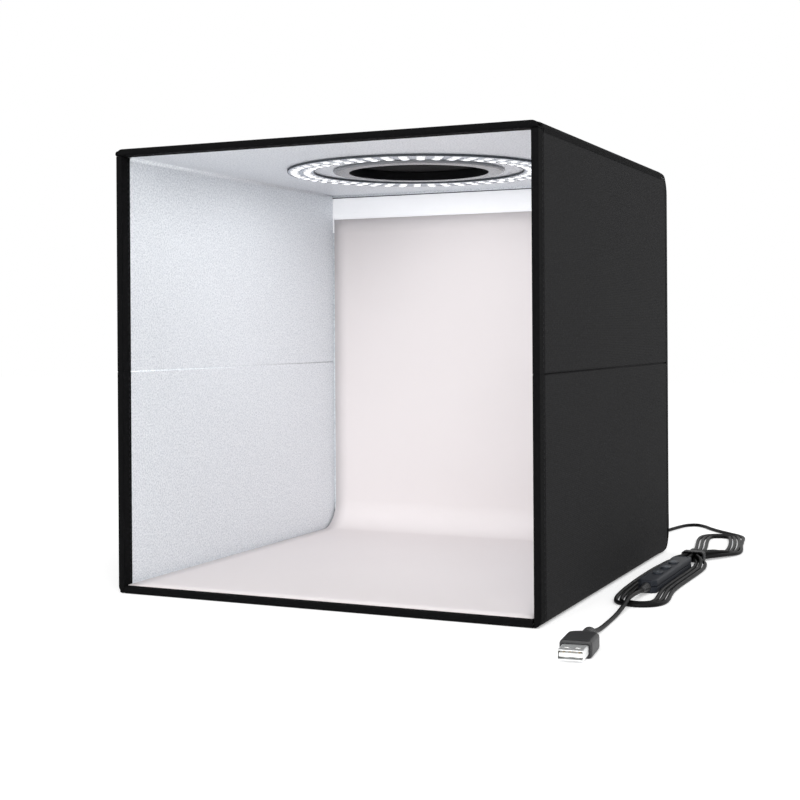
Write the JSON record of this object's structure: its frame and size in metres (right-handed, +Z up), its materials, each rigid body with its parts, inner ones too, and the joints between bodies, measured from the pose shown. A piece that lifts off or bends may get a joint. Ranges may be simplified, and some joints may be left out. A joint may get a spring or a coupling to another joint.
{
  "type": "light tent cube",
  "caption": "Folding fabric-covered light tent with an open front, silver lining, light ring round a camera hole, swept backdrop and a corded inline dimmer.",
  "frame": {"origin": "middle of the object's footprint on the table, without its cord", "axes": "+Z up, the open front faces -Y, +X to the right as seen from the front"},
  "size_m": [0.297, 0.4504, 0.2526],
  "materials": {
    "black_fabric": "plain woven, matt",
    "black_tape": "ribbed binding tape, matt",
    "grey_board": "stiff grey board",
    "silver_lining": "silver coated, finely textured, reflective",
    "pale_sheet": "matt soft plastic sheet",
    "white_tape": "white hook and loop tape",
    "white_board": "white lacquered circuit board",
    "grey_plastic": "fine moulded",
    "case_plastic": "fine moulded",
    "key_plastic": "smooth moulded",
    "green_board": "lacquered circuit board",
    "soft_plastic": "soft moulded",
    "cord_jacket": "smooth cord jacket",
    "plated_steel": "plated, bright",
    "white_plastic": "moulded"
  },
  "bodies": {
    "base": {"base_cover": "black_fabric", "base_board": "grey_board", "base_lining": "silver_lining", "base_binding": "black_tape", "rear_hinge_strip": "black_fabric", "base_lead": "soft_plastic", "backdrop": "pale_sheet", "cable_grommet": "soft_plastic", "cord_lead": "cord_jacket", "cord_hank": "cord_jacket", "cord_tie": "black_tape", "relief_in": "soft_plastic", "relief_out": "soft_plastic", "controller_upper_case": "case_plastic", "controller_lower_case": "case_plastic", "controller_board": "green_board", "plug_cord": "cord_jacket", "plug_overmould": "soft_plastic", "plug_shell": "plated_steel", "plug_tongue": "white_plastic"},
    "left_lower": {"left_lower_cover": "black_fabric", "left_lower_board": "grey_board", "left_lower_lining": "silver_lining", "left_lower_binding": "black_tape"},
    "left_upper": {"left_upper_cover": "black_fabric", "left_upper_board": "grey_board", "left_upper_lining": "silver_lining", "left_upper_binding": "black_tape"},
    "right_lower": {"right_lower_cover": "black_fabric", "right_lower_board": "grey_board", "right_lower_lining": "silver_lining", "right_lower_binding": "black_tape", "right_lower_lead": "soft_plastic"},
    "right_upper": {"right_upper_cover": "black_fabric", "right_upper_board": "grey_board", "right_upper_lining": "silver_lining", "right_upper_binding": "black_tape", "right_upper_lead": "soft_plastic"},
    "top": {"top_cover": "black_fabric", "top_board": "grey_board", "ceiling_lining": "silver_lining", "top_binding": "black_tape", "led_board": "white_board", "hole_collar": "grey_plastic", "ring_lead": "soft_plastic", "flap_hook_patch": "black_tape", "flap_hinge_hem": "black_tape"},
    "back": {"back_cover": "black_fabric", "back_board": "grey_board", "back_lining": "silver_lining", "hanger_strip": "white_tape", "closing_tab_left": "black_tape", "closing_tab_right": "black_tape"},
    "flap": {"flap_cover": "black_fabric", "flap_board": "black_fabric", "flap_pull_tab": "black_tape"},
    "dimmer_key": {"button_dimmer": "key_plastic"},
    "brighter_key": {"button_brighter": "key_plastic"},
    "power_key": {"button_power": "key_plastic"}
  },
  "joints": [
    {"name": "fold", "type": "hinge", "parent": "base", "child": "left_lower", "pos_m": [-0.1211, 0, 0.0056], "axis": [0, 1, 0], "range_deg": [0, 90], "deforming": ["backdrop"]},
    {"name": "left_crease", "type": "hinge", "parent": "left_lower", "child": "left_upper", "pos_m": [-0.1254, 0, 0.12465], "axis": [0, -1, 0], "range_deg": [0, 180]},
    {"name": "top_level", "type": "hinge", "parent": "left_upper", "child": "top", "pos_m": [-0.1211, 0, 0.2437], "axis": [0, 1, 0], "range_deg": [0, 90]},
    {"name": "right_fold", "type": "hinge", "parent": "base", "child": "right_lower", "pos_m": [0.1211, 0, 0.0056], "axis": [0, -1, 0], "range_deg": [0, 90]},
    {"name": "right_crease", "type": "hinge", "parent": "right_lower", "child": "right_upper", "pos_m": [0.1254, 0, 0.12465], "axis": [0, 1, 0], "range_deg": [0, 180]},
    {"name": "back_swing", "type": "hinge", "parent": "base", "child": "back", "pos_m": [0, 0.13245, 0.015], "axis": [-1, 0, 0], "range_deg": [0, 90]},
    {"name": "camera_flap", "type": "hinge", "parent": "top", "child": "flap", "pos_m": [-0.0522, 0.00785, 0.2526], "axis": [0, -1, 0], "range_deg": [0, 175]},
    {"name": "press_dimmer", "type": "slide", "parent": "base", "child": "dimmer_key", "axis": [0, 0, -1], "range_m": [0, 0.0005], "stiffness_N_per_m": 1000},
    {"name": "press_brighter", "type": "slide", "parent": "base", "child": "brighter_key", "axis": [0, 0, -1], "range_m": [0, 0.0005], "stiffness_N_per_m": 1000},
    {"name": "press_power", "type": "slide", "parent": "base", "child": "power_key", "axis": [0, 0, -1], "range_m": [0, 0.0005], "stiffness_N_per_m": 1000}
  ],
  "couplings": [
    {"joint": "left_crease", "follows": "fold", "ratio": 2},
    {"joint": "top_level", "follows": "fold", "ratio": 1},
    {"joint": "right_fold", "follows": "fold", "ratio": 1},
    {"joint": "right_crease", "follows": "fold", "ratio": 2}
  ]
}
